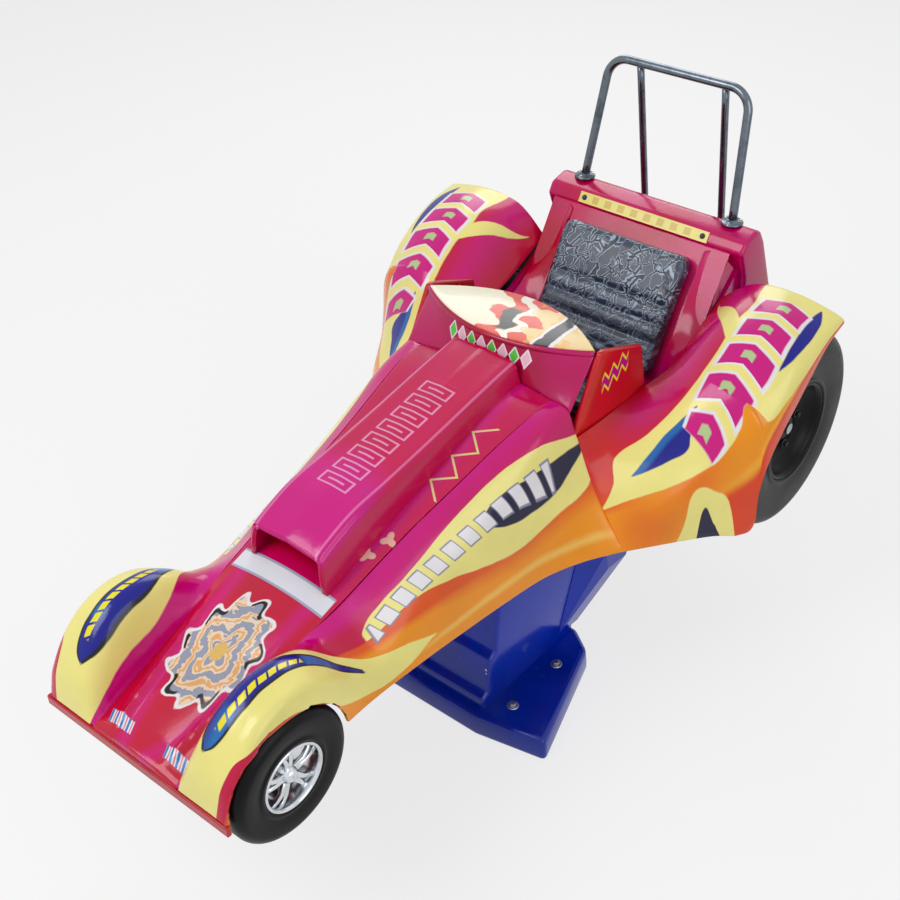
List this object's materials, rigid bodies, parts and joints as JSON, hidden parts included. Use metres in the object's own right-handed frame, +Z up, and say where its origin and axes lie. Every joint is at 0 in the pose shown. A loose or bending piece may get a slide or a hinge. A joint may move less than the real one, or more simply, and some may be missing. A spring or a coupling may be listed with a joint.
{
  "type": "coin-operated kiddie ride drag racing car",
  "caption": "Child-size drag racing car ride with moulded fenders, bucket seat and roll hoop, rocking on a floor pedestal.",
  "frame": {"origin": "centre of the bounding box at floor level, where the pedestal stands", "axes": "+Z up, -Y towards the nose, +X towards the car's left side"},
  "size_m": [1.0066, 1.708, 1.0765],
  "materials": {
    "blue_moulding": "gloss",
    "crimson_moulding": "gloss",
    "magenta_moulding": "gloss",
    "cream_moulding": "gloss",
    "steel_parts": "satin",
    "dark_tube": "polished",
    "bright_steel": "satin",
    "tyre_black": "satin",
    "wheel_chrome": "polished",
    "seat_vinyl": "satin",
    "grip_black": "matte"
  },
  "bodies": {
    "pedestal": {"pedestal_foot": "blue_moulding", "pedestal_tower": "blue_moulding", "tower_rim": "blue_moulding", "base_frame": "steel_parts", "drive_unit": "steel_parts", "pivot_bearing": "steel_parts"},
    "car": {"pivot_pin": "bright_steel", "chassis": "steel_parts", "floor_pan": "crimson_moulding", "nose_blade": "crimson_moulding", "hood": "crimson_moulding", "hood_scoop": "magenta_moulding", "left_front_fender": "cream_moulding", "right_front_fender": "cream_moulding", "left_side_panel": "cream_moulding", "right_side_panel": "cream_moulding", "cowl": "crimson_moulding", "cowl_top": "cream_moulding", "left_side_screen": "crimson_moulding", "right_side_screen": "crimson_moulding", "left_cockpit_side": "magenta_moulding", "right_cockpit_side": "magenta_moulding", "seat_shell": "crimson_moulding", "seat_back_pad": "seat_vinyl", "seat_base_pad": "seat_vinyl", "rear_deck": "crimson_moulding", "headrest_strip": "cream_moulding", "left_rear_fender": "cream_moulding", "right_rear_fender": "cream_moulding", "roll_hoop": "dark_tube", "roll_stays": "dark_tube", "front_axle": "bright_steel", "rear_axle": "bright_steel", "steering_column": "steel_parts"},
    "left_front_wheel": {"left_front_tyre": "tyre_black", "left_front_rim": "wheel_chrome"},
    "right_front_wheel": {"right_front_tyre": "tyre_black", "right_front_rim": "wheel_chrome"},
    "left_rear_wheel": {"left_rear_tyre": "tyre_black", "left_rear_rim": "wheel_chrome"},
    "right_rear_wheel": {"right_rear_tyre": "tyre_black", "right_rear_rim": "wheel_chrome"},
    "steering": {"steering_wheel": "grip_black"}
  },
  "joints": [
    {"name": "rock", "type": "hinge", "parent": "pedestal", "child": "car", "pos_m": [0, 0.12, 0.332], "axis": [1, 0, 0], "range_deg": [-5, 5]},
    {"name": "spin_left_front", "type": "hinge", "parent": "car", "child": "left_front_wheel", "pos_m": [0.2, -0.706, 0.378], "axis": [1, 0, 0], "continuous": true},
    {"name": "spin_right_front", "type": "hinge", "parent": "car", "child": "right_front_wheel", "pos_m": [-0.2, -0.706, 0.378], "axis": [1, 0, 0], "continuous": true},
    {"name": "spin_left_rear", "type": "hinge", "parent": "car", "child": "left_rear_wheel", "pos_m": [0.38, 0.552, 0.466], "axis": [1, 0, 0], "continuous": true},
    {"name": "spin_right_rear", "type": "hinge", "parent": "car", "child": "right_rear_wheel", "pos_m": [-0.38, 0.552, 0.466], "axis": [1, 0, 0], "continuous": true},
    {"name": "steer", "type": "hinge", "parent": "car", "child": "steering", "pos_m": [0, 0.288, 0.64], "axis": [0, 0.8192, 0.5736], "range_deg": [-90, 90]}
  ]
}
